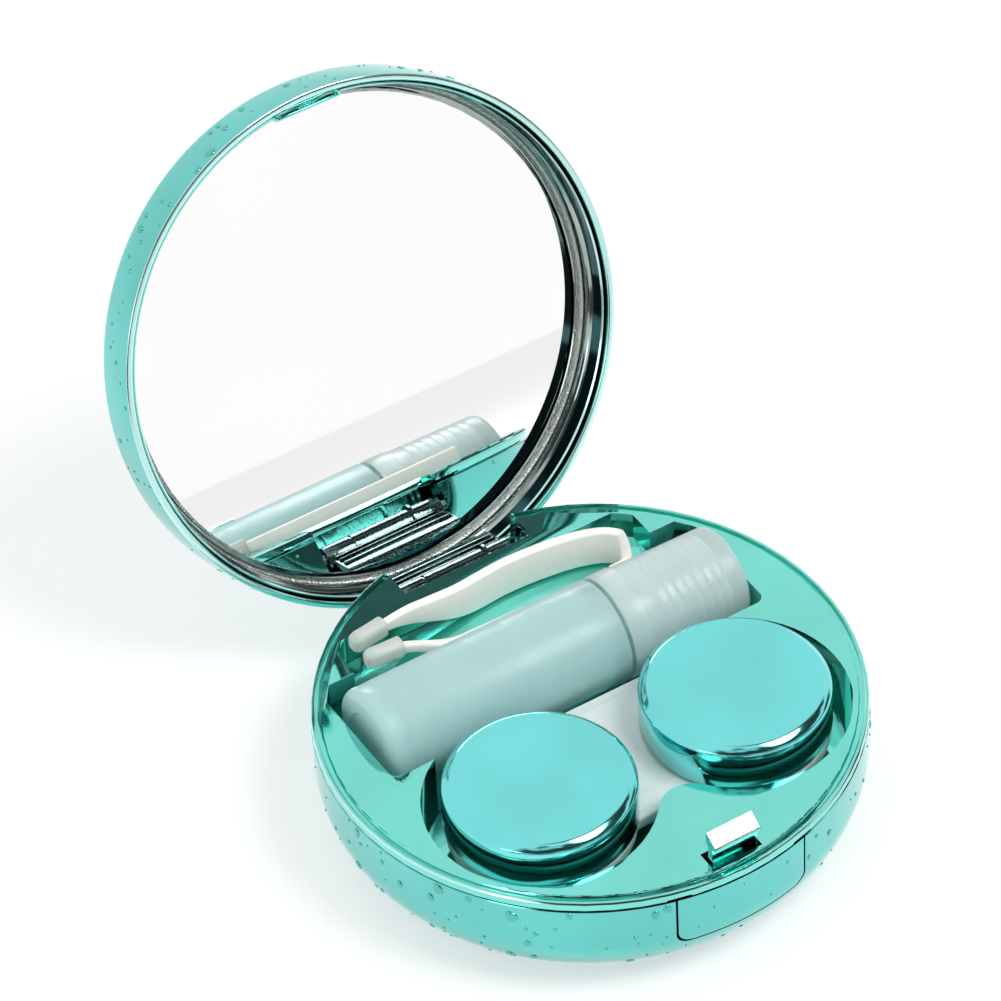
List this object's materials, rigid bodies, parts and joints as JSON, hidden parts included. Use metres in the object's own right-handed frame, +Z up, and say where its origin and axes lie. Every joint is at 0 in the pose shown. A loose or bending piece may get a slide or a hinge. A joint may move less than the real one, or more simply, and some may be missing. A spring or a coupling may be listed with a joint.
{
  "type": "contact lens case",
  "caption": "Round clam-shell travel kit for contact lenses, open: mirror lid, tray with a twin lens case, a solution bottle and tweezers, front push latch.",
  "frame": {"origin": "centre of the flat face the case rests on", "axes": "+Z up, the latch button faces -Y, the lid's hinge is at +Y and its pin runs along X"},
  "size_m": [0.076, 0.1137, 0.0776],
  "materials": {
    "plated_shell": "teal electroplated plastic, mirror bright, with raised water-drop relief",
    "plated_cap": "light teal electroplated plastic, mirror bright",
    "liner_plate": "silver-grey plated plastic",
    "mirror_glass": "silvered flat glass",
    "pin_steel": "drawn steel wire",
    "adhesive_foam": "thin double-sided pad",
    "white_plastic": "white moulded plastic",
    "frosted_plastic": "frosted translucent plastic, pale teal",
    "ivory_plastic": "satin ivory moulded plastic",
    "silicone": "soft translucent silicone"
  },
  "bodies": {
    "case": {"base_shell": "plated_shell", "inner_tray": "plated_shell", "hinge_pin": "pin_steel", "latch_spring": "pin_steel"},
    "lid": {"lid_shell": "plated_shell", "lid_liner": "liner_plate", "mirror": "mirror_glass", "mirror_pad": "adhesive_foam"},
    "latch": {"latch_button": "plated_shell"},
    "lens_case": {"lens_case_body": "white_plastic"},
    "left_cap": {"left_cap_shell": "plated_cap", "left_cap_insert": "white_plastic"},
    "right_cap": {"right_cap_shell": "plated_cap", "right_cap_insert": "white_plastic"},
    "bottle": {"bottle_body": "frosted_plastic", "bottle_nozzle": "white_plastic"},
    "bottle_lid": {"bottle_cap": "frosted_plastic"},
    "tweezers": {"tweezers_rear_arm": "ivory_plastic", "tweezers_rear_tip": "silicone"},
    "tweezers_arm": {"tweezers_front_arm": "ivory_plastic", "tweezers_front_tip": "silicone"}
  },
  "joints": [
    {"name": "lid_hinge", "type": "hinge", "parent": "case", "child": "lid", "pos_m": [0, 0.0347, 0.0128], "axis": [-1, 0, 0], "range_deg": [-113, 0]},
    {"name": "latch_press", "type": "slide", "parent": "case", "child": "latch", "axis": [0, 1, 0], "range_m": [0, 0.0012], "stiffness_N_per_m": 1500, "springref_m": -0.001, "deforming": ["latch_spring"]},
    {"name": "lens_case_lift", "type": "slide", "parent": "case", "child": "lens_case", "axis": [0, 0, 1], "range_m": [0, 0.03]},
    {"name": "left_cap_lift", "type": "slide", "parent": "lens_case", "child": "left_cap", "axis": [0, 0, 1], "range_m": [0, 0.012]},
    {"name": "right_cap_lift", "type": "slide", "parent": "lens_case", "child": "right_cap", "axis": [0, 0, 1], "range_m": [0, 0.012]},
    {"name": "bottle_lift", "type": "slide", "parent": "case", "child": "bottle", "axis": [0, 0, 1], "range_m": [0, 0.03]},
    {"name": "bottle_cap_turn", "type": "hinge", "parent": "bottle", "child": "bottle_lid", "pos_m": [0.02, 0.0114, 0.0154], "axis": [1, 0, 0], "range_deg": [0, 270]},
    {"name": "tweezers_lift", "type": "slide", "parent": "case", "child": "tweezers", "axis": [0, 0, 1], "range_m": [0, 0.03]},
    {"name": "tweezers_squeeze", "type": "hinge", "parent": "tweezers", "child": "tweezers_arm", "pos_m": [0.0168, 0.0204, 0.0168], "axis": [0, 0, -1], "range_deg": [0, 2], "stiffness_Nm_per_rad": 0.05}
  ]
}
